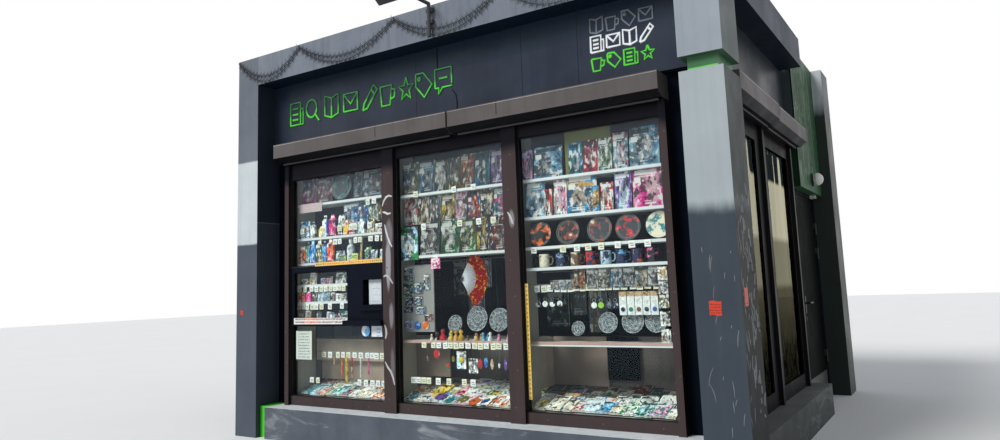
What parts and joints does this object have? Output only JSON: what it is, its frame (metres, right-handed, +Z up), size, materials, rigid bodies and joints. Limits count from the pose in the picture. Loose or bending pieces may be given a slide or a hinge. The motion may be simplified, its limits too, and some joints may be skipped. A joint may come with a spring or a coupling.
{
  "type": "street kiosk",
  "caption": "Street kiosk with two interlocking portal frames, green joints, shop windows with display shelves, roller shutter boxes and a hinged side door.",
  "frame": {"origin": "on the ground in the middle of the footprint of the four columns, on the underside of the floor slab", "axes": "+Z up; the front with the shop window faces -Y; the door is on the +X side"},
  "size_m": [4.342, 4.7367, 3.314],
  "materials": {
    "grey_paint": "satin, weathered",
    "light_grey_paint": "matt, brushed on",
    "green_paint": "satin",
    "dark_cladding": "satin composite sheet",
    "side_sign_grey": "satin",
    "shutter_brown": "powder coated",
    "frame_brown": "satin powder coat",
    "window_glass": "clear",
    "hatch_dark": "satin",
    "door_paint": "satin",
    "black_hardware": "satin",
    "pale_plastic": "gloss",
    "white_board": "laminated board",
    "floor_board": "worn board",
    "roof_membrane": "matt sheet",
    "bracket_steel": "satin",
    "garland_green": "matt"
  },
  "bodies": {
    "building": {"floor_slab": "floor_board", "left_column": "grey_paint", "corner_column": "light_grey_paint", "corner_block": "light_grey_paint", "rear_right_column": "grey_paint", "rear_left_column": "grey_paint", "front_beam": "grey_paint", "side_beam": "grey_paint", "left_beam": "grey_paint", "rear_beam": "grey_paint", "front_plinth": "light_grey_paint", "side_plinth": "light_grey_paint", "left_plinth": "light_grey_paint", "rear_plinth": "light_grey_paint", "green_core": "green_paint", "green_strip": "green_paint", "roof_panel": "roof_membrane", "front_wall_top": "dark_cladding", "front_wall_left": "dark_cladding", "front_wall_right": "dark_cladding", "right_wall_top": "dark_cladding", "right_wall_post": "dark_cladding", "right_wall_over_door": "dark_cladding", "left_wall": "dark_cladding", "back_wall": "dark_cladding", "front_sign_panel": "dark_cladding", "side_sign_panel": "side_sign_grey", "shutter_box_left": "shutter_brown", "shutter_box_right": "shutter_brown", "side_shutter_box_near": "shutter_brown", "side_shutter_box_far": "shutter_brown", "shutter_guide_rails": "frame_brown", "front_window_frame": "frame_brown", "front_window_glass": "window_glass", "service_hatch": "hatch_dark", "side_window_frame": "frame_brown", "side_window_glass": "window_glass", "slotted_panel": "green_paint", "panel_casing": "green_paint", "panel_backing": "green_paint", "door_frame": "dark_cladding", "hinge_pins": "black_hardware", "dome_lamp": "pale_plastic", "sensor_box": "pale_plastic", "display_dividers": "white_board", "left_bay_shelves": "white_board", "middle_bay_shelves": "white_board", "right_bay_shelves": "white_board", "magazine_trays": "white_board", "floodlight_bracket": "bracket_steel", "garland": "garland_green"},
    "door": {"door_leaf": "door_paint", "door_handle": "black_hardware", "hinge_knuckles": "black_hardware"}
  },
  "joints": [
    {"name": "door_hinge", "type": "hinge", "parent": "building", "child": "door", "pos_m": [1.998, 1.624, 1], "axis": [0, 0, 1], "range_deg": [0, 100]}
  ]
}
